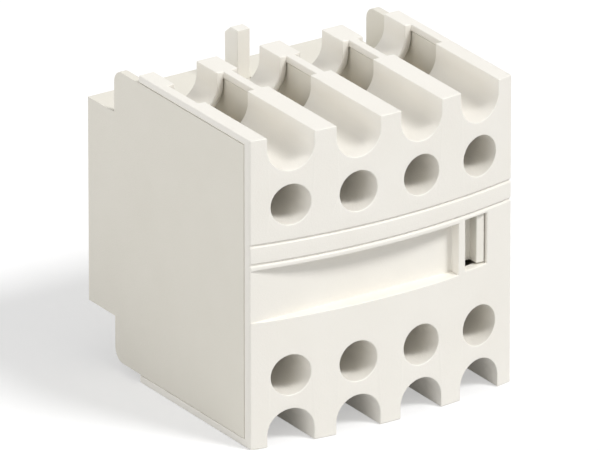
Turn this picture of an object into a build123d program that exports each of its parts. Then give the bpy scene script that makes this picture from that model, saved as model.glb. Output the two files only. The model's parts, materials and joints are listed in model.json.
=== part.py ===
"""Four pole auxiliary contact block, clipped on the front of a contactor.

A convex front cover with eight wire channels closes a base housing. Behind the eight terminals a common
carrier slides from front to back and moves four contact bridges: the two outer poles close and the two
inner poles open. A rear plate carries the hooks and the slot of a sprung latch. Upright, in millimetres:
front towards -Y, +Z up, origin in the middle of the box that holds the block, at the height of its feet.
"""

import os

from build123d import *

os.makedirs("parts", exist_ok=True)

# Overall block. Depths are measured back from the two front corner edges
block_width = 44.0
block_height = 47.2
front_bulge = 2.5
fit_gap = 0.1
slide_gap = 0.2

# Poles and terminals. A rise is measured up or down from the middle of the height
end_margin = 0.8
strip_front = 20.0
strip_thickness = 1.0

# Front cover
cover_depth = 28.7
cover_skin = 1.1
front_wall = 1.6
rib_width = 3.5
channel_depth = 5.4
window_front = 15.5
window_length = 7.8
access_hole_radius = 3.05
access_tube_wall = 1.1
groove_width = 0.35
groove_depth = 0.3
groove_rises = (4.6, 7.5)

# Label recess and indicator slot in the cover
recess_drop = 4.2
recess_height = 7.9
recess_floor = 0.05
recess_slot_gap = 1.2
slot_side_margin = 4.7
slot_width = 4.1
slot_drop = 3.9
slot_height = 7.8

# Snap arms that hold the cover in the side plates
arm_thickness = 1.0
arm_height = 4.0
arm_drop = 5.1
arm_length = 9.0
snap_reach = 0.6
snap_length = 1.4

# Base housing
side_plate = 1.3
rear_length = 6.9
ear_radius = 2.0
rear_step = 7.9
shell_wall = 1.3
partition = 0.9
partition_gap = 0.3
seat_wall = 5.0
seat_foot_gap = 0.3
screw_bore_radius = 2.1

# Rear plate, its hooks and its catches
rear_plate_thickness = 1.8
catch_width = 3.0
catch_height = 0.45
catch_length = 0.6
catch_x = 8.0
hook_side_margin = 6.6
hook_drop = 6.7
hook_width = 4.0
hook_height = 2.4
hook_reach = 1.8
hook_lip = 1.4
hook_lip_thickness = 0.9
hook_lead_in = 0.3
hook_back_radius = 0.7

# Contact carrier
bar_front = 4.6
bar_depth = 4.0
carrier_height = 4.0
bar_end_gap = 1.4
arm_wall = 0.9
bridge_window_width = 3.6
short_arm_end = 1.6
long_arm_end = 1.9
crossbar_width = 16.0
crossbar_depth = 2.8
carrier_notch_gap = 0.4
tongue_width = 4.4
tongue_reach = 1.5
tongue_head_width = 6.8
tongue_head_length = 1.2
indicator_face = 1.2
indicator_rib_width = 1.3
indicator_rib_reach = 1.7
spigot_radius = 0.8
spigot_length = 1.2

# Contacts
contact_gap = 3.0
closed_gap = 0.05
tip_radius = 1.3
tip_thickness = 0.8
tip_chamfer = 0.2
tip_rise = 4.4
tip_margin = 1.4
terminal_plate_height = 7.6
strip_arm_width = 3.6
strip_gap = 0.35
strip_corner = 0.8
thread_hole_radius = 1.75
bridge_width = 3.2
bridge_thickness = 0.6
bridge_end = 1.5
bridge_corner = 1.05
over_travel = 0.6

# Terminal screws and clamp washers
clamp_gap = 2.7
clamp_room = 0.6
clamp_size = 7.0
clamp_width = 7.6
clamp_thickness = 1.0
clamp_lip = 0.7
clamp_lip_reach = 1.2
clamp_hole_radius = 1.85
screw_head_radius = 2.9
screw_head_height = 2.1
screw_head_chamfer = 0.35
screw_shank_radius = 1.7
screw_length = 8.7
cross_length = 3.6
cross_width = 0.9
cross_depth = 1.1

# Latch
latch_width = 7.6
latch_rear_gap = 1.6
latch_depth = 3.4
latch_bottom_rise = 7.4
latch_roof_gap = 0.3
latch_travel = 2.5
post_width = 2.1
post_margin = 0.3
post_chamfer_depth = 1.5
post_chamfer_height = 1.2
bolt_width = 4.8
bolt_height = 2.0
bolt_drop = 2.2
bolt_chamfer = 1.0
bolt_reach = 1.3
cage_wall = 0.9
cage_floor = 1.2
latch_pocket_radius = 1.25
latch_pocket_roof = 1.7
guide_rib_width = 0.9
guide_rib_height = 5.0

# Springs
bridge_spring_radius = 1.5
return_spring_radius = 1.8
return_spring_length = 7.05
latch_spring_radius = 1.1
spring_wire = 0.4
bridge_spring_turns = 4
return_spring_turns = 5
latch_spring_turns = 6

# Places that follow from the sizes above
mid_height = block_height / 2
pole_pitch = (block_width - 2 * end_margin) / 4
channel_width = pole_pitch - rib_width
terminal_rise = mid_height - channel_depth - cover_skin - clamp_room - clamp_size / 2
strip_back = strip_front + strip_thickness
clamp_back = strip_front - clamp_gap
clamp_front = clamp_back - clamp_thickness
head_front = clamp_front - screw_head_height
bar_back = bar_front + bar_depth
side_inner_x = block_width / 2 - side_plate
chamber_width = pole_pitch - partition
roof_rise = mid_height - rear_step
ceiling_rise = roof_rise - shell_wall
latch_top_rise = ceiling_rise - latch_roof_gap
bolt_rise = latch_top_rise - bolt_drop - bolt_height
latch_pocket_top_rise = latch_top_rise - latch_pocket_roof
post_top = block_height - post_margin
slot_left = block_width / 2 - slot_side_margin - slot_width
slot_bottom = mid_height - slot_drop
recess_right = slot_left - recess_slot_gap
recess_bottom = mid_height - recess_drop
arm_rise = terminal_rise - arm_drop
seat_foot_rise = tip_rise + bridge_end + seat_foot_gap
pole_xs = [(pole - 1.5) * pole_pitch for pole in range(4)]
closing_xs = [pole_xs[0], pole_xs[3]]
opening_xs = [pole_xs[1], pole_xs[2]]
rows = {"top": 1, "bottom": -1}

# Closing bridges stand before the strips, opening bridges press on them from behind
closing_bridge_back = strip_front - 2 * tip_thickness - contact_gap
closing_window_front = bar_back + arm_wall
tube_end = closing_bridge_back - bridge_thickness - over_travel - fit_gap
opening_bridge_front = strip_back + 2 * tip_thickness + closed_gap
opening_window_front = opening_bridge_front - over_travel
bridge_spring_length = closing_bridge_back - bridge_thickness - closing_window_front
opening_window_back = opening_bridge_front + bridge_thickness + bridge_spring_length
crossbar_front = opening_window_back + long_arm_end
crossbar_back = crossbar_front + crossbar_depth

# The rear plate stands where the return springs behind the crossbar end, which sets the block's depth
rear_plate_front = crossbar_back + return_spring_length
block_depth = rear_plate_front + rear_plate_thickness
plate_depth = block_depth - rear_length
latch_back = rear_plate_front - latch_rear_gap
corner_y = (front_bulge - block_depth - hook_reach) / 2


def y_at(depth):
    """The y of a place at this depth behind the front corner edges."""
    return corner_y + depth


def across_at(depth):
    """A sketch plane across the block at a depth, seen from the front. Extrusions from it run forwards."""
    return Plane(origin=(0, y_at(depth), 0), x_dir=(1, 0, 0), z_dir=(0, -1, 0))


def span(low, high):
    """Middle and length of a stretch, for a rectangle that is drawn between two places."""
    return (low + high) / 2, high - low


def draw_box(left, right, low, high, mode=Mode.ADD):
    """Draws a rectangle between its four sides in the sketch that is open."""
    centre_x, width = span(left, right)
    centre_y, height = span(low, high)
    with Locations((centre_x, centre_y)):
        Rectangle(width, height, mode=mode)


def draw_plan(set_back, back_depth, mode=Mode.ADD):
    """Draws the plan of the block down to a depth, its convex front set back from the outer face."""
    half = block_width / 2
    corner = y_at(set_back)
    back = y_at(back_depth)
    with BuildLine() as outline:
        ThreePointArc((-half, corner), (0, corner - front_bulge), (half, corner))
        Polyline((half, corner), (half, back), (-half, back), (-half, corner))
    make_face(outline.edges(), mode=mode)


def draw_channels(grow):
    """Draws the eight U channels in a front view, each side grown outwards."""
    radius = channel_width / 2 + grow
    centre_rise = block_height / 2 - channel_depth + channel_width / 2
    for x in pole_xs:
        for side in rows.values():
            centre_z = mid_height + side * centre_rise
            edge_z = mid_height + side * (block_height / 2 + front_wall)
            with Locations((x, centre_z)):
                Circle(radius)
            draw_box(x - radius, x + radius, min(centre_z, edge_z), max(centre_z, edge_z))


def terminal_points():
    """The eight screw axes in a front view."""
    return [(x, mid_height + side * terminal_rise) for x in pole_xs for side in rows.values()]


def coil(name, outer_radius, start, end, axis, turns):
    """Makes and writes a compression spring between two points of its axis."""
    length = (end - start).length - spring_wire - 2 * fit_gap
    first = start + axis * (spring_wire / 2 + fit_gap)
    with BuildPart() as spring:
        with BuildLine() as wire_path:
            Helix(length / turns, length, outer_radius - spring_wire / 2, center=first, direction=axis)
        with BuildSketch(Plane(origin=wire_path.line @ 0, z_dir=wire_path.line % 0)):
            Rectangle(spring_wire, spring_wire)
        sweep(is_frenet=True)
    write(spring.part, name)


def write(part, name):
    """Labels a finished piece and writes it."""
    part.label = name
    export_step(part, f"parts/{name}.step")


# Front cover: the hollow inside the moulding, less the ribs, tubes, pad and arms that stand in it
inside_top = block_height - cover_skin
arm_outer_x = side_inner_x - fit_gap
arm_inner_x = arm_outer_x - arm_thickness
tube_radius = access_hole_radius + access_tube_wall
recess_top = recess_bottom + recess_height

with BuildPart() as cover_hollow:
    with BuildSketch(Plane.XY.offset(cover_skin)):
        draw_plan(front_wall, cover_depth)
    extrude(amount=inside_top - cover_skin)
    with BuildSketch(across_at(cover_depth)):
        draw_channels(cover_skin)
    extrude(amount=cover_depth + front_bulge, mode=Mode.SUBTRACT)
    with BuildSketch(across_at(tube_end)):
        with Locations(*terminal_points()):
            Circle(tube_radius)
    extrude(amount=tube_end + front_bulge, mode=Mode.SUBTRACT)
    with BuildSketch(across_at(recess_floor + cover_skin)):
        draw_box(-block_width, recess_right + cover_skin, recess_bottom - cover_skin, recess_top + cover_skin)
    extrude(amount=front_bulge + recess_floor + cover_skin, mode=Mode.SUBTRACT)
    with BuildSketch(across_at(arm_length)):
        for side in rows.values():
            arm_z = mid_height + side * arm_rise
            for hand in (-1, 1):
                with Locations((hand * (arm_outer_x + arm_inner_x) / 2, arm_z)):
                    Rectangle(arm_thickness, arm_height)
    extrude(amount=arm_length + front_bulge, mode=Mode.SUBTRACT)

with BuildPart() as front_cover:
    with BuildSketch():
        draw_plan(0, cover_depth)
    extrude(amount=block_height)
    with BuildSketch(across_at(cover_depth)):
        draw_channels(0)
    extrude(amount=cover_depth + front_bulge, mode=Mode.SUBTRACT)
    add(cover_hollow.part, mode=Mode.SUBTRACT)
    # Each wire drops to its terminal through a window in the channel's skin
    with BuildSketch(across_at(window_front + window_length)):
        draw_channels(cover_skin)
    extrude(amount=window_length, mode=Mode.SUBTRACT)
    # Screwdriver holes run on through the guide tubes
    with BuildSketch(across_at(tube_end)):
        with Locations(*terminal_points()):
            Circle(access_hole_radius)
    extrude(amount=tube_end + front_bulge, mode=Mode.SUBTRACT)
    # The label recess has a flat floor in the convex front, open at the left edge
    with BuildSketch(across_at(recess_floor)):
        draw_box(-block_width, recess_right, recess_bottom, recess_top)
    extrude(amount=front_bulge + recess_floor, mode=Mode.SUBTRACT)
    with BuildSketch(across_at(bar_front)):
        draw_box(slot_left, slot_left + slot_width, slot_bottom, slot_bottom + slot_height)
    extrude(amount=bar_front + front_bulge, mode=Mode.SUBTRACT)
    # Two fine grooves cross the front over the label
    for rise in groove_rises:
        with BuildSketch(Plane.XY.offset(mid_height + rise - groove_width / 2)):
            draw_box(-block_width / 2, block_width / 2, y_at(-front_bulge), y_at(front_wall))
            draw_plan(groove_depth, front_wall, mode=Mode.SUBTRACT)
        extrude(amount=groove_width, mode=Mode.SUBTRACT)
    # Wedge noses on the snap arms
    for side in rows.values():
        with BuildSketch(Plane.XY.offset(mid_height + side * arm_rise - arm_height / 2)):
            for hand in (-1, 1):
                with BuildLine():
                    Polyline(
                        (hand * (arm_outer_x - fit_gap), y_at(arm_length - snap_length)),
                        (hand * arm_outer_x, y_at(arm_length - snap_length)),
                        (hand * (arm_outer_x + snap_reach), y_at(arm_length - snap_length + slide_gap)),
                        (hand * arm_outer_x, y_at(arm_length)),
                        (hand * (arm_outer_x - fit_gap), y_at(arm_length)),
                        close=True,
                    )
                make_face()
        extrude(amount=arm_height)

write(front_cover.part, "front_cover")

# Base housing: side plates, partitions, terminal seats and the rear box that the rear plate closes
catch_back = rear_plate_front + (rear_plate_thickness + catch_length) / 2
cage_front = latch_back - latch_depth - slide_gap
cage_half_width = latch_width / 2 + slide_gap
cage_floor_top_rise = latch_bottom_rise - latch_travel - fit_gap
carrier_slot_half = carrier_height / 2 + carrier_notch_gap
screw_bore_back = clamp_front + screw_length + clamp_gap + slide_gap
plate_low = cover_skin + fit_gap
plate_high = block_height - cover_skin - fit_gap


def draw_partition(slot_depth):
    """Draws a partition in a side view, with a slot of this depth for the carrier from its front edge."""
    with BuildSketch(mode=Mode.PRIVATE) as outline:
        draw_box(y_at(front_wall + partition_gap), y_at(cover_depth - slide_gap), plate_low, plate_high)
        draw_box(y_at(strip_back), y_at(rear_plate_front), mid_height - roof_rise, mid_height + roof_rise)
        draw_box(
            y_at(0),
            y_at(slot_depth),
            mid_height - carrier_slot_half,
            mid_height + carrier_slot_half,
            mode=Mode.SUBTRACT,
        )
    add(outline.sketch)


with BuildPart() as base_housing:
    for x in (-block_width / 2, side_inner_x):
        with BuildSketch(Plane.YZ.offset(x)):
            draw_box(y_at(front_wall + fit_gap), y_at(plate_depth), plate_low, plate_high)
            fillet(vertices().group_by(Axis.X)[-1], ear_radius)
            draw_box(
                y_at(strip_back), y_at(block_depth), mid_height - roof_rise, mid_height + roof_rise
            )
        extrude(amount=side_plate)
    with BuildSketch(Plane.YZ.offset(-side_inner_x)):
        for side in rows.values():
            roof = sorted((mid_height + side * ceiling_rise, mid_height + side * roof_rise))
            seat = sorted((mid_height + side * seat_foot_rise, mid_height + side * roof_rise))
            draw_box(y_at(strip_back), y_at(block_depth), *roof)
            draw_box(y_at(strip_back), y_at(strip_back + seat_wall), *seat)
    extrude(amount=2 * side_inner_x)
    # The middle partition is open along its whole length, because the carrier's crossbar passes it
    for gap in (-1, 0, 1):
        slot_depth = block_depth if gap == 0 else bar_back + contact_gap + carrier_notch_gap
        with BuildSketch(Plane.YZ.offset(gap * pole_pitch - partition / 2)):
            draw_partition(slot_depth)
        extrude(amount=partition)
    # The bores run on behind the seats, as far as the tip of a screw that is driven home
    with BuildSketch(across_at(screw_bore_back)):
        with Locations(*terminal_points()):
            Circle(screw_bore_radius)
    extrude(amount=screw_bore_back - strip_back, mode=Mode.SUBTRACT)
    # The latch cage hangs from the roof
    with BuildSketch(across_at(rear_plate_front)):
        draw_box(
            -cage_half_width - cage_wall,
            cage_half_width + cage_wall,
            mid_height + cage_floor_top_rise - cage_floor,
            mid_height + ceiling_rise,
        )
    extrude(amount=rear_plate_front - cage_front + cage_wall)
    with BuildSketch(across_at(rear_plate_front)):
        draw_box(
            -cage_half_width,
            cage_half_width,
            mid_height + cage_floor_top_rise,
            mid_height + ceiling_rise,
        )
    extrude(amount=rear_plate_front - cage_front, mode=Mode.SUBTRACT)
    with BuildSketch(Plane.XY.offset(mid_height + ceiling_rise)):
        draw_box(
            -post_width / 2 - slide_gap,
            post_width / 2 + slide_gap,
            y_at(cage_front),
            y_at(latch_back + slide_gap),
        )
    extrude(amount=shell_wall, mode=Mode.SUBTRACT)
    # Blind pockets inside the side plates take the cover's snap noses
    for side in rows.values():
        with BuildSketch(Plane.XY.offset(mid_height + side * arm_rise - arm_height / 2 - slide_gap)):
            for hand in (-1, 1):
                pocket = sorted((hand * side_inner_x, hand * (arm_outer_x + snap_reach + fit_gap)))
                draw_box(*pocket, y_at(arm_length - snap_length - fit_gap), y_at(arm_length + fit_gap))
        extrude(amount=arm_height + 2 * slide_gap, mode=Mode.SUBTRACT)
    # Pockets in the roof and the floor take the rear plate's catches
    for side in rows.values():
        low = min(side * ceiling_rise, side * (ceiling_rise + catch_height))
        with BuildSketch(Plane.XY.offset(mid_height + low)):
            for hand in (-1, 1):
                draw_box(
                    hand * catch_x - catch_width / 2 - fit_gap,
                    hand * catch_x + catch_width / 2 + fit_gap,
                    y_at(catch_back - catch_length - fit_gap),
                    y_at(catch_back + fit_gap),
                )
        extrude(amount=catch_height, mode=Mode.SUBTRACT)

write(base_housing.part, "base_housing")

# Rear plate with hooks, catches and guide ribs for the latch
plate_half_width = side_inner_x - fit_gap
plate_half_height = ceiling_rise - fit_gap
hook_x = plate_half_width - hook_side_margin
hook_rise = roof_rise - hook_drop

with BuildPart() as rear_plate:
    with BuildSketch(across_at(block_depth)):
        draw_box(-plate_half_width, plate_half_width, mid_height - plate_half_height, mid_height + plate_half_height)
        draw_box(
            -tongue_head_width / 2 - carrier_notch_gap,
            tongue_head_width / 2 + carrier_notch_gap,
            mid_height - carrier_slot_half,
            mid_height + carrier_slot_half,
            mode=Mode.SUBTRACT,
        )
        draw_box(
            -bolt_width / 2 - carrier_notch_gap,
            bolt_width / 2 + carrier_notch_gap,
            mid_height + bolt_rise - latch_travel - slide_gap,
            mid_height + bolt_rise + bolt_height + slide_gap,
            mode=Mode.SUBTRACT,
        )
    extrude(amount=rear_plate_thickness)
    with BuildSketch(across_at(rear_plate_front)):
        for hand in (-1, 1):
            with Locations((hand * (latch_width - guide_rib_width) / 2, mid_height + bolt_rise)):
                Rectangle(guide_rib_width, guide_rib_height)
    extrude(amount=rear_plate_front - latch_back - slide_gap)
    with BuildSketch(across_at(rear_plate_front)):
        with Locations(*[(x, mid_height) for x in opening_xs]):
            Circle(spigot_radius)
    extrude(amount=spigot_length)
    with BuildSketch(across_at(catch_back)):
        for hand in (-1, 1):
            for side in rows.values():
                with Locations((hand * catch_x, mid_height + side * plate_half_height)):
                    Rectangle(catch_width, 2 * catch_height)
    extrude(amount=catch_length)
    # The hooks point down: the block is hung on the contactor and pushed down
    for hand in (-1, 1):
        for side in rows.values():
            hook_z = mid_height + side * hook_rise
            hook_back = y_at(block_depth + hook_reach)
            with BuildSketch(Plane.YZ.offset(hand * hook_x - hook_width / 2)):
                draw_box(y_at(block_depth), hook_back, hook_z, hook_z + hook_height)
                draw_box(hook_back - hook_lip_thickness, hook_back, hook_z - hook_lip, hook_z)
                chamfer(vertices().group_by(Axis.Y)[0], length=hook_lead_in)
                fillet(vertices().group_by(Axis.Y)[-1].sort_by(Axis.X)[-1], hook_back_radius)
            extrude(amount=hook_width)

write(rear_plate.part, "rear_plate")

# Contact carrier: front bar, four arms with bridge windows, crossbar and drive tongue
arm_half = bridge_window_width / 2 + arm_wall
bar_half = side_inner_x - bar_end_gap
tongue_end = block_depth + tongue_reach

with BuildPart() as contact_carrier:
    with BuildSketch(Plane.XY.offset(mid_height - carrier_height / 2)):
        draw_box(-bar_half, bar_half, y_at(bar_front), y_at(bar_back))
        for x in closing_xs:
            draw_box(x - arm_half, x + arm_half, y_at(bar_front), y_at(closing_bridge_back + short_arm_end))
        for x in opening_xs:
            draw_box(x - arm_half, x + arm_half, y_at(bar_front), y_at(crossbar_back))
        draw_box(-crossbar_width / 2, crossbar_width / 2, y_at(crossbar_front), y_at(crossbar_back))
        draw_box(-tongue_width / 2, tongue_width / 2, y_at(crossbar_front), y_at(tongue_end))
        draw_box(
            -tongue_head_width / 2,
            tongue_head_width / 2,
            y_at(tongue_end - tongue_head_length),
            y_at(tongue_end),
        )
        for x in closing_xs:
            draw_box(
                x - bridge_window_width / 2,
                x + bridge_window_width / 2,
                y_at(closing_window_front),
                y_at(closing_bridge_back),
                mode=Mode.SUBTRACT,
            )
        for x in opening_xs:
            draw_box(
                x - bridge_window_width / 2,
                x + bridge_window_width / 2,
                y_at(opening_window_front),
                y_at(opening_window_back),
                mode=Mode.SUBTRACT,
            )
    extrude(amount=carrier_height)
    # The indicator shows the carrier's place in the slot of the cover
    with BuildSketch(across_at(bar_front)):
        draw_box(
            slot_left + slide_gap,
            slot_left + slot_width - slide_gap,
            slot_bottom + slide_gap,
            slot_bottom + slot_height - slide_gap,
        )
    extrude(amount=bar_front - indicator_face)
    with BuildSketch(across_at(indicator_face)):
        draw_box(
            slot_left + slot_width - slide_gap - indicator_rib_width,
            slot_left + slot_width - slide_gap,
            slot_bottom + slide_gap,
            slot_bottom + slot_height - slide_gap,
        )
    extrude(amount=indicator_rib_reach)
    with BuildSketch(across_at(crossbar_back + spigot_length)):
        with Locations(*[(x, mid_height) for x in opening_xs]):
            Circle(spigot_radius)
    extrude(amount=spigot_length)

write(contact_carrier.part, "contact_carrier")

# Latch slide: a body in its cage, a post to press from above and a bolt through the rear plate
with BuildPart() as latch_slide:
    with BuildSketch(across_at(latch_back)):
        draw_box(-latch_width / 2, latch_width / 2, mid_height + latch_bottom_rise, mid_height + latch_top_rise)
        draw_box(-post_width / 2, post_width / 2, mid_height + latch_bottom_rise, post_top)
    extrude(amount=latch_depth)
    chamfer(
        edges().filter_by(Axis.X).group_by(Axis.Z)[-1].sort_by(Axis.Y)[-1],
        length=post_chamfer_depth,
        length2=post_chamfer_height,
    )
    with BuildSketch(across_at(block_depth + bolt_reach)):
        draw_box(
            -bolt_width / 2, bolt_width / 2, mid_height + bolt_rise, mid_height + bolt_rise + bolt_height
        )
    extrude(amount=block_depth + bolt_reach - latch_back)
    chamfer(edges().filter_by(Axis.X).group_by(Axis.Y)[-1].sort_by(Axis.Z)[0], length=bolt_chamfer)
    with BuildSketch(Plane.XY.offset(mid_height + latch_bottom_rise)):
        with Locations((0, y_at(latch_back - latch_depth / 2))):
            Circle(latch_pocket_radius)
    extrude(amount=latch_pocket_top_rise - latch_bottom_rise, mode=Mode.SUBTRACT)

write(latch_slide.part, "latch_slide")

# Fixed contacts: stamped strips with the terminal plate at one end and a silver tip at the other
strip_end_rise = tip_rise - tip_margin
strip_width = chamber_width - 2 * strip_gap

for row, side in rows.items():
    for pole, x in enumerate(pole_xs, start=1):
        with BuildPart() as fixed_contact:
            with BuildSketch(across_at(strip_back)):
                with Locations((x, mid_height + side * terminal_rise)):
                    RectangleRounded(strip_width, terminal_plate_height, strip_corner)
                draw_box(
                    x - strip_arm_width / 2,
                    x + strip_arm_width / 2,
                    *sorted((mid_height + side * strip_end_rise, mid_height + side * terminal_rise)),
                )
                with Locations((x, mid_height + side * terminal_rise)):
                    Circle(thread_hole_radius, mode=Mode.SUBTRACT)
            extrude(amount=strip_thickness)
        write(fixed_contact.part, f"fixed_contact_{row}_{pole}")

        closing = x in closing_xs
        tip_back = strip_front if closing else strip_back + tip_thickness
        with BuildPart() as fixed_tip:
            with BuildSketch(across_at(tip_back)):
                with Locations((x, mid_height + side * tip_rise)):
                    Circle(tip_radius)
            extrude(amount=tip_thickness)
            face_end = 0 if closing else -1
            chamfer(edges().group_by(Axis.Y)[face_end], length=tip_chamfer)
        write(fixed_tip.part, f"fixed_tip_{row}_{pole}")

# Contact bridges with their pairs of tips
for pole, x in enumerate(pole_xs, start=1):
    closing = x in closing_xs
    bridge_back = closing_bridge_back if closing else opening_bridge_front + bridge_thickness
    with BuildPart() as contact_bridge:
        with BuildSketch(across_at(bridge_back)):
            with Locations((x, mid_height)):
                RectangleRounded(bridge_width, 2 * (tip_rise + bridge_end), bridge_corner)
        extrude(amount=bridge_thickness)
    write(contact_bridge.part, f"contact_bridge_{pole}")

    tips_back = bridge_back + tip_thickness if closing else bridge_back - bridge_thickness
    with BuildPart() as bridge_tips:
        with BuildSketch(across_at(tips_back)):
            with Locations(*[(x, mid_height + side * tip_rise) for side in rows.values()]):
                Circle(tip_radius)
        extrude(amount=tip_thickness)
        face_end = -1 if closing else 0
        chamfer(edges().group_by(Axis.Y)[face_end], length=tip_chamfer)
    write(bridge_tips.part, f"bridge_tips_{pole}")

    if closing:
        spring_start = Vector(x, y_at(closing_window_front), mid_height)
        spring_end = Vector(x, y_at(closing_bridge_back - bridge_thickness), mid_height)
    else:
        spring_start = Vector(x, y_at(bridge_back), mid_height)
        spring_end = Vector(x, y_at(opening_window_back), mid_height)
    coil(
        f"bridge_spring_{pole}",
        bridge_spring_radius,
        spring_start,
        spring_end,
        Vector(0, 1, 0),
        bridge_spring_turns,
    )

# Return springs between the crossbar and the rear plate, and the spring under the latch
for name, x in zip(("return_spring_left", "return_spring_right"), opening_xs):
    coil(
        name,
        return_spring_radius,
        Vector(x, y_at(crossbar_back), mid_height),
        Vector(x, y_at(rear_plate_front), mid_height),
        Vector(0, 1, 0),
        return_spring_turns,
    )
coil(
    "latch_spring",
    latch_spring_radius,
    Vector(0, y_at(latch_back - latch_depth / 2), mid_height + cage_floor_top_rise),
    Vector(0, y_at(latch_back - latch_depth / 2), mid_height + latch_pocket_top_rise),
    Vector(0, 0, 1),
    latch_spring_turns,
)

# Terminal screws and clamp washers, shown open, ready for a wire
for row, side in rows.items():
    for pole, x in enumerate(pole_xs, start=1):
        axis_point = (x, mid_height + side * terminal_rise)
        with BuildPart() as clamp_washer:
            with BuildSketch(across_at(clamp_back)):
                with Locations(axis_point):
                    Rectangle(clamp_width, clamp_size)
            extrude(amount=clamp_thickness)
            with BuildSketch(across_at(clamp_front)):
                for hand in (-1, 1):
                    with Locations((x + hand * (clamp_width - clamp_lip) / 2, axis_point[1])):
                        Rectangle(clamp_lip, clamp_size)
            extrude(amount=clamp_lip_reach)
            with BuildSketch(across_at(clamp_back)):
                with Locations(axis_point):
                    Circle(clamp_hole_radius)
            extrude(amount=clamp_thickness, mode=Mode.SUBTRACT)
        write(clamp_washer.part, f"clamp_washer_{row}_{pole}")

        with BuildPart() as terminal_screw:
            with BuildSketch(across_at(clamp_front)):
                with Locations(axis_point):
                    Circle(screw_head_radius)
            extrude(amount=screw_head_height)
            chamfer(edges().group_by(Axis.Y)[0], length=screw_head_chamfer)
            with BuildSketch(across_at(clamp_front + screw_length)):
                with Locations(axis_point):
                    Circle(screw_shank_radius)
            extrude(amount=screw_length)
            chamfer(edges().group_by(Axis.Y)[-1], length=screw_head_chamfer)
            with BuildSketch(across_at(head_front + cross_depth)):
                with Locations(axis_point):
                    Rectangle(cross_length, cross_width)
                    Rectangle(cross_width, cross_length)
            extrude(amount=cross_depth, mode=Mode.SUBTRACT)
        write(terminal_screw.part, f"terminal_screw_{row}_{pole}")
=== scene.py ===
"""Looks of a four pole auxiliary contact block: moulded cream plastic over screws, contacts and springs."""

import json
import math

import bpy
from mathutils import Matrix, Vector


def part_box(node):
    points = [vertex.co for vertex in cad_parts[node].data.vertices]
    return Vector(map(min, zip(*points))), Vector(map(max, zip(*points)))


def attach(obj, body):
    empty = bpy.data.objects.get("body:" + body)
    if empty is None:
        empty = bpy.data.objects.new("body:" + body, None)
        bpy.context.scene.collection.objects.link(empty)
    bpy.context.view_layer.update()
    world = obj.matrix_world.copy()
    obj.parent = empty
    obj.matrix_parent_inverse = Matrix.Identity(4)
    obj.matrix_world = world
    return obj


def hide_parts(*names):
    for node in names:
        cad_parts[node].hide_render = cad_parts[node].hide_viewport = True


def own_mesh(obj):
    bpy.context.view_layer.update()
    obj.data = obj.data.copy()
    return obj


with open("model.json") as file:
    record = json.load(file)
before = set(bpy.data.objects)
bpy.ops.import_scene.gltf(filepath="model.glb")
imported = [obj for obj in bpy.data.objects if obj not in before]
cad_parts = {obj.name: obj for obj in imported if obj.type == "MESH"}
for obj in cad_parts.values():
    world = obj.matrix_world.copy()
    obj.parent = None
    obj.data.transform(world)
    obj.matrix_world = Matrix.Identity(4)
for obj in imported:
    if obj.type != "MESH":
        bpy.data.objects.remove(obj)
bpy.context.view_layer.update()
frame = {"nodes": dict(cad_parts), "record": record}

MM = 0.001
WHITE = (1.0, 1.0, 1.0, 1.0)

# The block's own measures, in millimetres
pole_pitch = 10.6
mid_height = 23.6
terminal_rise = 13.0
recess_drop = 4.2
recess_height = 7.9
recess_floor = -20.65
thread_radius = 1.7
thread_pitch = 0.6
spring_wire = 0.4

# What the frame's record says of nodes and joints
behaviour = frame["record"]["behaviour"]
body_of_node = {node: body for body, nodes in behaviour["bodies"].items() for node in nodes}
slot_of_node = {part["node"]: part["material_slot"] for part in frame["record"]["subparts"]}
travel_of_joint = {joint["name"]: joint["range_m"][1] for joint in behaviour["joints"] if "range_m" in joint}


# Shader maths
class Socket:
    """A value in a node tree. Arithmetic on it adds Math nodes to that tree."""

    def __init__(self, nodes, output):
        self.nodes = nodes
        self.output = output

    def math(self, operation, first, second=0.0):
        return self.nodes.add("ShaderNodeMath", {"operation": operation}, {0: first, 1: second})

    def __add__(self, other):
        return self.math("ADD", self, other)

    def __radd__(self, other):
        return self.math("ADD", other, self)

    def __sub__(self, other):
        return self.math("SUBTRACT", self, other)

    def __rsub__(self, other):
        return self.math("SUBTRACT", other, self)

    def __mul__(self, other):
        return self.math("MULTIPLY", self, other)

    def __rmul__(self, other):
        return self.math("MULTIPLY", other, self)

    def at_least(self, other):
        return self.math("MAXIMUM", self, other)

    def fraction(self):
        return self.math("FRACT", self)

    def size(self):
        return self.math("ABSOLUTE", self)

    def root(self):
        return self.math("SQRT", self)


class Nodes:
    """A node tree that is written as expressions."""

    def __init__(self, owner):
        owner.use_nodes = True
        self.tree = owner.node_tree
        self.tree.nodes.clear()

    def add(self, kind, settings=None, sockets=None, output=0):
        """Adds a node, sets it up, feeds its sockets with values or links and gives one of its outputs."""
        node = self.tree.nodes.new(kind)
        for name, value in (settings or {}).items():
            setattr(node, name, value)
        for key, value in (sockets or {}).items():
            self.feed(node.inputs[key], value)
        return Socket(self, node.outputs[output]) if node.outputs else None

    def feed(self, target, value):
        if isinstance(value, Socket):
            self.tree.links.new(value.output, target)
        else:
            target.default_value = value


def linear(hexadecimal):
    """A written colour as the linear values that a shader takes."""
    channels = [int(hexadecimal[place:place + 2], 16) / 255 for place in (0, 2, 4)]
    return tuple(c / 12.92 if c <= 0.04045 else ((c + 0.055) / 1.055) ** 2.4 for c in channels) + (1.0,)


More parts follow.
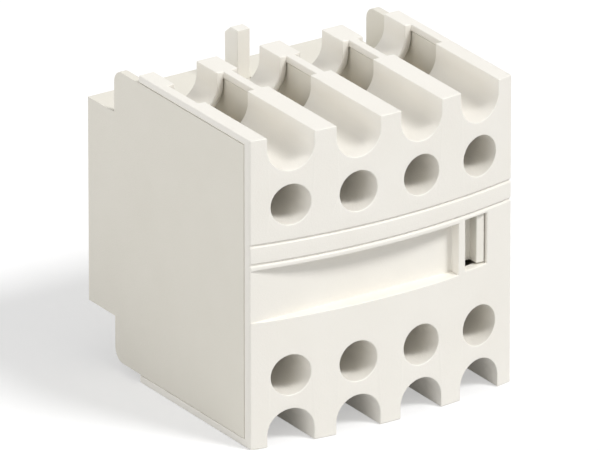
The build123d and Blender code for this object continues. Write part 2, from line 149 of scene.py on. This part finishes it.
class Finish(Nodes):
    """A material with one main shader, whose steady values are set on its own sockets."""

    def __init__(self, name, **steady):
        self.material = bpy.data.materials.new(name)
        super().__init__(self.material)
        values = {key.replace("_", " "): value for key, value in steady.items()}
        surface = self.add("ShaderNodeBsdfPrincipled", None, values)
        self.shader = surface.output.node
        self.add("ShaderNodeOutputMaterial", None, {"Surface": surface})
        self.place = self.add("ShaderNodeTexCoord", output="Object")

    def noise(self, size, detail=3.0, roughness=0.55, place=None):
        """Uneven patches, about as large as the given size in millimetres."""
        vector = place or self.place
        sockets = {"Vector": vector, "Scale": 1 / (size * MM), "Detail": detail, "Roughness": roughness}
        return self.add("ShaderNodeTexNoise", None, sockets)

    def along(self, letter):
        """One of the object's coordinates, in metres."""
        return self.add("ShaderNodeSeparateXYZ", None, {"Vector": self.place}, output=letter)

    def stretched(self, scale):
        """The object's coordinates times three factors, which make a pattern finer along x, y and z."""
        return self.add("ShaderNodeMapping", None, {"Vector": self.place, "Scale": scale})

    def tint(self, mask, low, high):
        """A colour between two others, by a mask from 0 to 1."""
        return self.add("ShaderNodeMix", {"data_type": "RGBA"}, {0: mask, 6: low, 7: high}, output=2)

    def bump(self, height, depth, strength=1.0, under=None):
        """Relief whose height of 1 stands for the given depth in millimetres."""
        sockets = {"Height": height, "Distance": depth * MM, "Strength": strength}
        if under:
            sockets["Normal"] = under
        return self.add("ShaderNodeBump", None, sockets)

    def give(self, **varying):
        """Feeds what varies over the surface to the main shader and gives the material."""
        for key, value in varying.items():
            self.feed(self.shader.inputs[key.replace("_", " ")], value)
        return self.material


# Finishes. Patches average a half, so half of their shares is taken off the mean roughness
def moulded_plastic(name, shade, deep_shade, grain=0.24, roughness=0.46):
    """Glass filled thermoplastic from an eroded mould: a fine even grain, faint flow and a satin skin."""
    finish = Finish(name, IOR=1.49, Specular_IOR_Level=0.42)
    flow = finish.noise(size=9.0, detail=2.0)
    specks = finish.noise(size=grain, detail=2.0, roughness=0.7)
    ripple = finish.noise(size=4.0, detail=1.0)
    color = finish.tint(flow * 0.7 + specks * 0.3, deep_shade, shade)
    skin = specks * 0.16 + flow * 0.1 + (roughness - 0.13)
    sink = finish.bump(ripple, depth=0.05, strength=0.35)
    relief = finish.bump(specks, depth=0.045, strength=0.6, under=sink)
    return finish.give(Base_Color=color, Roughness=skin, Normal=relief)


def plated_metal(name, bright, dull, roughness, marks):
    """Plated or drawn metal with small stains, and marks as fine along x, y and z as three factors say."""
    finish = Finish(name, Metallic=1.0)
    stains = finish.noise(size=1.6, detail=4.0, roughness=0.6)
    drawn = finish.noise(size=0.5, detail=2.0, place=finish.stretched(marks))
    color = finish.tint(stains, dull, bright)
    sheen = stains * 0.14 + drawn * 0.1 + (roughness - 0.12)
    relief = finish.bump(drawn, depth=0.02, strength=0.3)
    return finish.give(Base_Color=color, Roughness=sheen, Normal=relief)


def turned_zinc(name, bright, dull, roughness=0.3):
    """Zinc plate on screws and washers: rings round each screw's axis, faint stains and a soft sheen."""
    finish = Finish(name, Metallic=1.0)
    stains = finish.noise(size=1.2, detail=4.0, roughness=0.6)
    across = (finish.along("X") * (1 / (pole_pitch * MM))).fraction() * pole_pitch - pole_pitch / 2
    rise = (finish.along("Z") * (1 / MM) - mid_height).size() - terminal_rise
    radius = (across * across + rise * rise).root()
    ring_noise = {"W": radius, "Scale": 5.0, "Detail": 2.0}
    rings = finish.add("ShaderNodeTexNoise", {"noise_dimensions": "1D"}, ring_noise)
    color = finish.tint(stains * 0.75 + rings * 0.25, dull, bright)
    sheen = stains * 0.16 + rings * 0.16 + (roughness - 0.16)
    relief = finish.bump(rings, depth=0.03, strength=0.5)
    return finish.give(Base_Color=color, Roughness=sheen, Normal=relief)


polished = {"grain": 0.16, "roughness": 0.4}
strip_marks = (1.0, 14.0, 1.0)
tip_marks = (1.0, 1.0, 1.0)
wire_marks = (6.0, 6.0, 6.0)
finishes = {
    "cover_plastic": moulded_plastic("cover_plastic", linear("F1EEE7"), linear("EBE7DE")),
    "housing_plastic": moulded_plastic("housing_plastic", linear("E6E2D8"), linear("DEDACE")),
    "rear_plastic": moulded_plastic("rear_plastic", linear("DEDAD0"), linear("D5D1C5")),
    "carrier_plastic": moulded_plastic("carrier_plastic", linear("EFECE4"), linear("E8E4DA"), **polished),
    "latch_plastic": moulded_plastic("latch_plastic", linear("F0EDE6"), linear("E9E6DD"), **polished),
    "contact_brass": plated_metal("contact_brass", linear("D9BC83"), linear("C4A26A"), 0.34, strip_marks),
    "silver_tip": plated_metal("silver_tip", linear("E8E6E1"), linear("D3D0CA"), 0.3, tip_marks),
    "zinc_steel": turned_zinc("zinc_steel", linear("DADCDD"), linear("BFC3C6")),
    "spring_steel": plated_metal("spring_steel", linear("B4B5B7"), linear("96989B"), 0.28, wire_marks),
}

# Modelling: lengths in metres below which points count as level or as one, and angles in degrees
level = 0.01 * MM
same_place = 0.002 * MM
sharp_angle = 35
smooth_angle = 46


def pick_only(piece):
    """Makes one piece the only one that the next operators act on."""
    bpy.ops.object.select_all(action="DESELECT")
    piece.select_set(True)
    bpy.context.view_layer.objects.active = piece


def clear_selection(piece, kind):
    """Leaves nothing selected in the mesh of a piece, whose points or edges are picked next."""
    pick_only(piece)
    bpy.ops.object.mode_set(mode="EDIT")
    bpy.ops.mesh.select_mode(type=kind)
    bpy.ops.mesh.select_all(action="DESELECT")
    bpy.ops.object.mode_set(mode="OBJECT")


def select_points(piece, wanted):
    """Selects the points of a piece whose place passes a test, and stays in edit mode."""
    clear_selection(piece, "VERT")
    for vertex in piece.data.vertices:
        vertex.select = wanted(vertex.co)
    bpy.ops.object.mode_set(mode="EDIT")


def select_all(piece):
    """Selects the whole mesh of a piece, and stays in edit mode."""
    pick_only(piece)
    bpy.ops.object.mode_set(mode="EDIT")
    bpy.ops.mesh.select_all(action="SELECT")


def apply_modifier(piece, kind, **settings):
    pick_only(piece)
    modifier = piece.modifiers.new(kind.lower(), kind)
    for name, value in settings.items():
        setattr(modifier, name, value)
    bpy.ops.object.modifier_apply(modifier=modifier.name)


def settle(piece):
    """Moves a piece's place into its mesh."""
    pick_only(piece)
    bpy.ops.object.transform_apply(location=True, rotation=True, scale=True)


def dress(piece, node, smooth):
    """Lets a piece stand for a CAD node, with that node's body and finish, smooth up to the given angle."""
    pick_only(piece)
    bpy.ops.object.shade_smooth_by_angle(angle=math.radians(smooth))
    piece.data.materials.clear()
    piece.data.materials.append(finishes[slot_of_node[node]])
    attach(piece, body_of_node[node])
    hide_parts(node)


def weigh_edges(piece, share, wanted=lambda start, end: True):
    """Adds a share of the rounding to the sharp edges of a piece whose two ends pass a test."""
    clear_selection(piece, "EDGE")
    bpy.ops.object.mode_set(mode="EDIT")
    bpy.ops.mesh.edges_select_sharp(sharpness=math.radians(sharp_angle))
    bpy.ops.object.mode_set(mode="OBJECT")
    points = piece.data.vertices
    for edge in piece.data.edges:
        edge.select = edge.select and wanted(*(points[number].co for number in edge.vertices))
    bpy.ops.object.mode_set(mode="EDIT")
    bpy.ops.transform.edge_bevelweight(value=share)
    bpy.ops.object.mode_set(mode="OBJECT")


def softened(node, edge_radius, hardly_rounded=None, least_share=0.12):
    """A copy of a CAD node's solid whose sharp edges are rounded as a mould or press leaves them."""
    cad = frame["nodes"][node]
    piece = bpy.data.objects.new(node + "_formed", cad.data.copy())
    bpy.context.collection.objects.link(piece)
    pick_only(piece)
    bpy.ops.mesh.customdata_custom_splitnormals_clear()
    select_all(piece)
    bpy.ops.mesh.remove_doubles(threshold=same_place)
    bpy.ops.object.mode_set(mode="OBJECT")
    weigh_edges(piece, 1.0)
    if hardly_rounded:
        weigh_edges(piece, least_share - 1.0, hardly_rounded)
    apply_modifier(
        piece,
        "BEVEL",
        limit_method="WEIGHT",
        width=edge_radius * MM,
        segments=2,
        use_clamp_overlap=False,
        loop_slide=False,
    )
    dress(piece, node, smooth=smooth_angle)
    apply_modifier(piece, "WEIGHTED_NORMAL", mode="FACE_AREA_WITH_ANGLE", weight=50, keep_sharp=True)
    return piece


# Moulded pieces
cover_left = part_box("front_cover")[0][0]
recess_bottom = mid_height - recess_drop
recess_walls = (recess_bottom * MM, (recess_bottom + recess_height) * MM)


def recess_runs_out(start, end):
    """True on the label recess's walls at the cover's left side, where they are lower than the rounding."""
    on_one_wall = any(max(abs(start.z - wall), abs(end.z - wall)) < level for wall in recess_walls)
    before_floor = max(start.y, end.y) < recess_floor * MM + level
    return on_one_wall and before_floor and min(start.x, end.x) < cover_left + level


softened("front_cover", edge_radius=0.16, hardly_rounded=recess_runs_out)
softened("base_housing", edge_radius=0.12)
softened("rear_plate", edge_radius=0.12)
softened("contact_carrier", edge_radius=0.1)
softened("latch_slide", edge_radius=0.12)

# Contact strips, tips and clamp washers, all of them pressed
for node in frame["nodes"]:
    if node.startswith(("fixed_contact", "contact_bridge")):
        softened(node, edge_radius=0.07)
    if node.startswith(("clamp_washer", "fixed_tip", "bridge_tips")):
        softened(node, edge_radius=0.09)


# Terminal screws, modelled once and set in all eight terminals
def turned_head(center, front, radius, height, rim=0.5, broken_edge=0.15):
    """A round screw head with a full rim in front and a broken edge behind."""
    bpy.ops.mesh.primitive_cylinder_add(
        vertices=64,
        radius=radius * MM,
        depth=height * MM,
        location=center + Vector((0, (front + height / 2) * MM, 0)),
        rotation=(math.pi / 2, 0, 0),
    )
    head = bpy.context.active_object
    settle(head)
    for end, rounding, steps in ((front, rim, 5), (front + height, broken_edge, 2)):
        select_points(head, lambda place: abs(place.y - center.y - end * MM) < level)
        bpy.ops.mesh.bevel(offset=rounding * MM, segments=steps, affect="EDGES")
        bpy.ops.object.mode_set(mode="OBJECT")
    return head


def cut_cross(head, center, front, length=3.6, width=0.95, depth=1.1, taper=(0.55, 1, 0.7)):
    """Cuts the tapered cross recess for a driver into a screw head, one wing after the other."""
    bottom = center + Vector((0, (front + depth) * MM, 0))
    for angle in (0, math.pi / 2):
        bpy.ops.mesh.primitive_cube_add(size=1, location=center + Vector((0, front * MM, 0)))
        wing = bpy.context.active_object
        wing.scale = (length * MM, 2 * depth * MM, width * MM)
        settle(wing)
        select_points(wing, lambda place: place.y > center.y + front * MM)
        bpy.ops.transform.resize(value=taper, center_override=bottom)
        bpy.ops.mesh.select_all(action="SELECT")
        bpy.ops.transform.rotate(value=angle, orient_axis="Y", center_override=bottom)
        bpy.ops.object.mode_set(mode="OBJECT")
        apply_modifier(head, "BOOLEAN", object=wing, operation="DIFFERENCE", solver="EXACT")
        bpy.data.objects.remove(wing)


def rolled_thread(center, start, end, radius, pitch, steps=32):
    """A threaded shank, drawn round its axis from one tooth and cut square at both ends."""
    tooth = pitch / 2
    bpy.ops.mesh.primitive_circle_add(vertices=4, radius=tooth * MM, location=(0, 0, 0))
    shank = bpy.context.active_object
    settle(shank)
    select_points(shank, lambda place: place.x < -level)
    bpy.ops.mesh.delete(type="VERT")
    bpy.ops.mesh.select_all(action="SELECT")
    bpy.ops.transform.translate(value=((radius - tooth) * MM, (start - pitch) * MM, 0))
    bpy.ops.object.mode_set(mode="OBJECT")
    apply_modifier(
        shank,
        "SCREW",
        axis="Y",
        angle=2 * math.pi,
        screw_offset=pitch * MM,
        iterations=math.ceil((end - start) / pitch) + 2,
        steps=steps,
        render_steps=steps,
        use_merge_vertices=False,
    )
    select_all(shank)
    bpy.ops.mesh.remove_doubles(threshold=same_place)
    for cut, at_tip in ((start, False), (end, True)):
        bpy.ops.mesh.select_all(action="SELECT")
        bpy.ops.mesh.bisect(
            plane_co=(0, cut * MM, 0),
            plane_no=(0, 1, 0),
            use_fill=True,
            clear_inner=not at_tip,
            clear_outer=at_tip,
        )
    bpy.ops.mesh.select_all(action="SELECT")
    bpy.ops.mesh.normals_make_consistent(inside=False)
    bpy.ops.transform.translate(value=center)
    bpy.ops.object.mode_set(mode="OBJECT")
    return shank


def joined(*parts):
    """Makes one piece of several."""
    pick_only(parts[0])
    for part in parts:
        part.select_set(True)
    bpy.ops.object.join()
    return parts[0]


def copied(master, name, shift):
    """A copy of a piece with its own mesh, moved in that mesh."""
    piece = bpy.data.objects.new(name, master.data.copy())
    piece.data.transform(Matrix.Translation(shift))
    bpy.context.collection.objects.link(piece)
    return piece


head_radius = 2.9
head_height = 2.1
into_head = 0.05
low, high = (Vector(corner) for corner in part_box("terminal_screw_top_1"))
screw_axis = (low + high) / 2
screw_axis.y = 0
head_front = low.y / MM
screw_tip = high.y / MM
head = turned_head(screw_axis, head_front, head_radius, head_height)
cut_cross(head, screw_axis, head_front)
thread_start = head_front + head_height - into_head
shank = rolled_thread(screw_axis, thread_start, screw_tip, thread_radius, thread_pitch)
screw = joined(head, shank)
for node in frame["nodes"]:
    if node.startswith("terminal_screw"):
        piece = copied(screw, node + "_turned", Vector(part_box(node)[0]) - low)
        dress(piece, node, smooth=38)
bpy.data.objects.remove(screw)


# Springs
def wound_spring(node, axis, outer_radius, turns, steps=16):
    """A compression spring of round wire between the ends of its CAD node, with a closed coil at each end."""
    low, high = (Vector(corner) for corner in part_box(node))
    center = (low + high) / 2
    length = (high - low)[axis] - spring_wire * MM
    reach = (outer_radius - spring_wire / 2) * MM
    closed_rise = spring_wire * MM
    open_rise = (length - 2 * closed_rise) / turns
    curve = bpy.data.curves.new(node + "_wire", "CURVE")
    curve.dimensions = "3D"
    curve.bevel_depth = spring_wire / 2 * MM
    curve.bevel_resolution = 3
    curve.use_fill_caps = True
    curve.resolution_u = 2
    path = curve.splines.new("NURBS")
    path.points.add((turns + 2) * steps)
    for count, point in enumerate(path.points):
        turn = count / steps
        closed_turns = min(turn, 1) + max(turn - 1 - turns, 0)
        open_turns = max(min(turn - 1, turns), 0)
        place = center.copy()
        place[axis] += closed_turns * closed_rise + open_turns * open_rise - length / 2
        place[(axis + 1) % 3] += math.cos(turn * 2 * math.pi) * reach
        place[(axis + 2) % 3] += math.sin(turn * 2 * math.pi) * reach
        point.co = (*place, 1)
    path.order_u = 3
    path.use_endpoint_u = True
    holder = bpy.data.objects.new(node + "_wound", curve)
    bpy.context.collection.objects.link(holder)
    pick_only(holder)
    bpy.ops.object.convert(target="MESH")
    dress(bpy.context.active_object, node, smooth=60)
    return bpy.context.active_object


def pressed(node, axis, joint):
    """The share of a spring's length that is left when its joint has made its whole travel."""
    low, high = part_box(node)
    length = high[axis] - low[axis]
    return (length - travel_of_joint[joint]) / length


# Springs: one under each pole's bridge, two that return the carrier and one in the latch, each with its own
# mesh
for pole in range(1, 5):
    node = f"bridge_spring_{pole}"
    joint = f"bridge_{pole}_give"
    spring = wound_spring(node, 1, outer_radius=1.5, turns=4)
    pressed(node, 1, joint)
    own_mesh(spring)
for node in ("return_spring_left", "return_spring_right"):
    spring = wound_spring(node, 1, outer_radius=1.8, turns=5)
    pressed(node, 1, "carrier_slide")
    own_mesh(spring)
node = "latch_spring"
spring = wound_spring(node, 2, outer_radius=1.1, turns=6)
pressed(node, 2, "latch_press")
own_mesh(spring)


# Floor: pale from above, and clear from below so that the block's underside can be looked at
def seen_rays(nodes):
    """1 for what the camera sees, also in metal and through glass, and 0 for light on the block itself."""
    camera_ray = nodes.add("ShaderNodeLightPath", output="Is Camera Ray")
    kinds = camera_ray.output.node.outputs
    glossy_ray = Socket(nodes, kinds["Is Glossy Ray"])
    glass_ray = Socket(nodes, kinds["Is Transmission Ray"])
    return camera_ray.at_least(glossy_ray).at_least(glass_ray)


floor_width = 1200
floor_gap = 0.02
floor_shade = (0.6, 0.6, 0.6, 1.0)
floor_glow = 0.42
bpy.ops.mesh.primitive_plane_add(size=floor_width * MM, location=(0, 0, -floor_gap * MM))
floor = bpy.context.active_object
floor.name = "floor"
pale_floor = bpy.data.materials.new("pale_floor")
floor_nodes = Nodes(pale_floor)
matte = floor_nodes.add("ShaderNodeBsdfDiffuse", None, {"Color": floor_shade})
glow_strength = seen_rays(floor_nodes) * floor_glow
glow = floor_nodes.add("ShaderNodeEmission", None, {"Color": WHITE, "Strength": glow_strength})
pale_side = floor_nodes.add("ShaderNodeAddShader", None, {0: matte, 1: glow})
clear_side = floor_nodes.add("ShaderNodeBsdfTransparent")
below = floor_nodes.add("ShaderNodeNewGeometry", output="Backfacing")
one_sided = floor_nodes.add("ShaderNodeMixShader", None, {0: below, 1: pale_side, 2: clear_side})
floor_nodes.add("ShaderNodeOutputMaterial", None, {"Surface": one_sided})
floor.data.materials.append(pale_floor)

# Light: an even pale room, white where it is seen itself, and three soft lamps
room_light = 0.42
room = bpy.data.worlds.new("pale_room")
bpy.context.scene.world = room
room_nodes = Nodes(room)
room_strength = seen_rays(room_nodes) * (1 - room_light) + room_light
background = room_nodes.add("ShaderNodeBackground", None, {"Color": WHITE, "Strength": room_strength})
room_nodes.add("ShaderNodeOutputWorld", None, {"Surface": background})


def lamp(name, direction, softness, strength):
    """A far soft lamp that lights everything from one direction alike."""
    light = bpy.data.lights.new(name, "SUN")
    light.angle = math.radians(softness)
    light.energy = strength
    holder = bpy.data.objects.new(name, light)
    holder.rotation_euler = (-Vector(direction)).to_track_quat("-Z", "Y").to_euler()
    bpy.context.collection.objects.link(holder)


lamp("key_lamp", (0.35, -0.6, 0.85), softness=16, strength=2.3)
lamp("fill_lamp", (-0.9, -0.25, 0.25), softness=40, strength=0.8)
lamp("back_lamp", (-0.35, 0.9, 0.12), softness=40, strength=0.9)

# Camera: a very long lens that looks down on the front left corner, as in the drawing.
# Its distance and the point that it aims at are in millimetres
turn = math.radians(33.33)
drop = math.radians(23.11)
distance = 2361
aim_right = -0.05
aim_up = 20.19
right = Vector((math.cos(turn), -math.sin(turn), 0))
up = Vector((math.sin(turn) * math.sin(drop), math.cos(turn) * math.sin(drop), math.cos(drop)))
forward = Vector((math.sin(turn) * math.cos(drop), math.cos(turn) * math.cos(drop), -math.sin(drop)))
middle = Vector((0, 0, mid_height * MM))
target = right * aim_right * MM + up * aim_up * MM + forward * forward.dot(middle)
camera_data = bpy.data.cameras.new("camera")
camera_data.lens = 1000
camera_data.sensor_width = 36
camera_data.clip_end = 10
camera = bpy.data.objects.new("camera", camera_data)
camera.location = target - forward * distance * MM
camera.rotation_euler = (math.pi / 2 - drop, 0, -turn)
bpy.context.collection.objects.link(camera)
bpy.context.scene.camera = camera
bpy.context.scene.view_settings.view_transform = "Standard"
